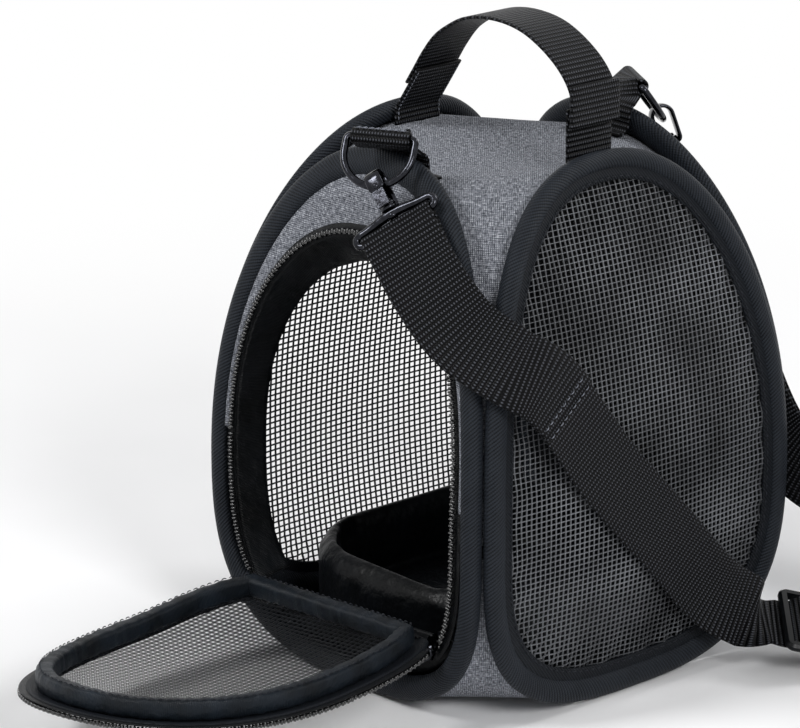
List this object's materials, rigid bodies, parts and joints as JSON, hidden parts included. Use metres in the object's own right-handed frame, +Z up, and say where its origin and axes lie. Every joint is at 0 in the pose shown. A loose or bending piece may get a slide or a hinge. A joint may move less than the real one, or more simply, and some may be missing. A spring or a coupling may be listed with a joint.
{
  "type": "hamster carrier bag",
  "caption": "Soft carrier bag for a hamster: egg-shaped panels with padded rolls, mesh windows, a zipped mesh door laid open, a top handle and a clip-on shoulder strap.",
  "frame": {"origin": "middle of the flat base, on the surface that the bag stands on", "axes": "+Z up, the door faces -Y, and +X is on the right of someone who looks at the door"},
  "size_m": [0.3222, 0.3795, 0.2737],
  "materials": {
    "heather_cloth": "heather weave, matt",
    "twill_cloth": "twill binding over foam cord",
    "lining_cloth": "smooth satin lining",
    "mesh_net": "open knitted net",
    "webbing": "ribbed woven webbing",
    "zip_nylon": "nylon coil",
    "gunmetal": "polished gunmetal plating",
    "black_plastic": "moulded, satin",
    "board": "plain stiffener board"
  },
  "bodies": {
    "shell": {"front_rim": "twill_cloth", "right_rim": "twill_cloth", "back_rim": "twill_cloth", "left_rim": "twill_cloth", "top_panel": "heather_cloth", "base_panel": "heather_cloth", "back_panel": "heather_cloth", "front_panel": "heather_cloth", "front_sill": "lining_cloth", "right_window_binding": "twill_cloth", "right_window_mesh": "mesh_net", "left_window_binding": "twill_cloth", "left_window_mesh": "mesh_net", "frame_zip_tape": "lining_cloth", "frame_zip_coil": "zip_nylon", "base_board": "board", "handle_tab_left": "webbing", "handle_tab_right": "webbing", "front_ring_tab": "webbing", "back_ring_tab": "webbing", "front_strap_loop": "gunmetal", "back_strap_loop": "gunmetal", "strap_front": "webbing", "strap_rear": "webbing", "strap_adjuster": "black_plastic"},
    "door": {"door_band": "twill_cloth", "door_mesh": "mesh_net", "door_roll": "lining_cloth", "door_zip_tape": "lining_cloth", "door_zip_coil": "zip_nylon"},
    "slider": {"zip_slider": "gunmetal"},
    "pull": {"zip_pull": "gunmetal"},
    "front_ring": {"front_ring": "gunmetal"},
    "back_ring": {"back_ring": "gunmetal"},
    "front_hook": {"front_hook": "gunmetal"},
    "back_hook": {"back_hook": "gunmetal"},
    "front_gate": {"front_gate": "gunmetal"},
    "back_gate": {"back_gate": "gunmetal"},
    "handle": {"handle": "webbing"},
    "pad": {"pad": "lining_cloth"}
  },
  "joints": [
    {"name": "door_hinge", "type": "hinge", "parent": "shell", "child": "door", "pos_m": [0, -0.08706, 0.033], "axis": [0.9976, 0, 0.0698], "range_deg": [-95, 0]},
    {"name": "zip_run", "type": "slide", "parent": "shell", "child": "slider", "axis": [0.4758, -0.0491, 0.8782], "range_m": [0, 0.0015]},
    {"name": "pull_flap", "type": "hinge", "parent": "slider", "child": "pull", "pos_m": [0.05903, -0.09188, 0.03385], "axis": [-0.6099, -0.0475, 0.791], "range_deg": [0, 10]},
    {"name": "front_ring_swing", "type": "hinge", "parent": "shell", "child": "front_ring", "pos_m": [0.006, -0.07111, 0.2335], "axis": [0.866, 0.5, 0], "range_deg": [0, 3]},
    {"name": "back_ring_swing", "type": "hinge", "parent": "shell", "child": "back_ring", "pos_m": [0.006, 0.07111, 0.2335], "axis": [0.866, -0.5, 0], "range_deg": [0, 3]},
    {"name": "front_hook_swivel", "type": "hinge", "parent": "shell", "child": "front_hook", "pos_m": [0.02292, -0.08143, 0.20846], "axis": [-0.7217, 0.1203, 0.6816], "range_deg": [-6, 6]},
    {"name": "back_hook_swivel", "type": "hinge", "parent": "shell", "child": "back_hook", "pos_m": [0.01807, 0.082, 0.2055], "axis": [-0.2996, -0.1698, 0.9388], "range_deg": [-6, 6]},
    {"name": "front_gate_spring", "type": "hinge", "parent": "front_hook", "child": "front_gate", "pos_m": [0.02355, -0.0849, 0.2115], "axis": [-0.6071, -0.5829, -0.54], "range_deg": [0, 12], "stiffness_Nm_per_rad": 0.002},
    {"name": "back_gate_spring", "type": "hinge", "parent": "back_hook", "child": "back_gate", "pos_m": [0.01561, 0.07804, 0.20528], "axis": [-0.8328, 0.5266, -0.1706], "range_deg": [0, 12], "stiffness_Nm_per_rad": 0.002},
    {"name": "handle_fold", "type": "hinge", "parent": "shell", "child": "handle", "pos_m": [0, 0, 0.24], "axis": [1, 0, 0], "range_deg": [-75, 75], "stiffness_Nm_per_rad": 0.01},
    {"name": "pad_lift", "type": "slide", "parent": "shell", "child": "pad", "axis": [0, 0, 1], "range_m": [0, 0.03]}
  ]
}
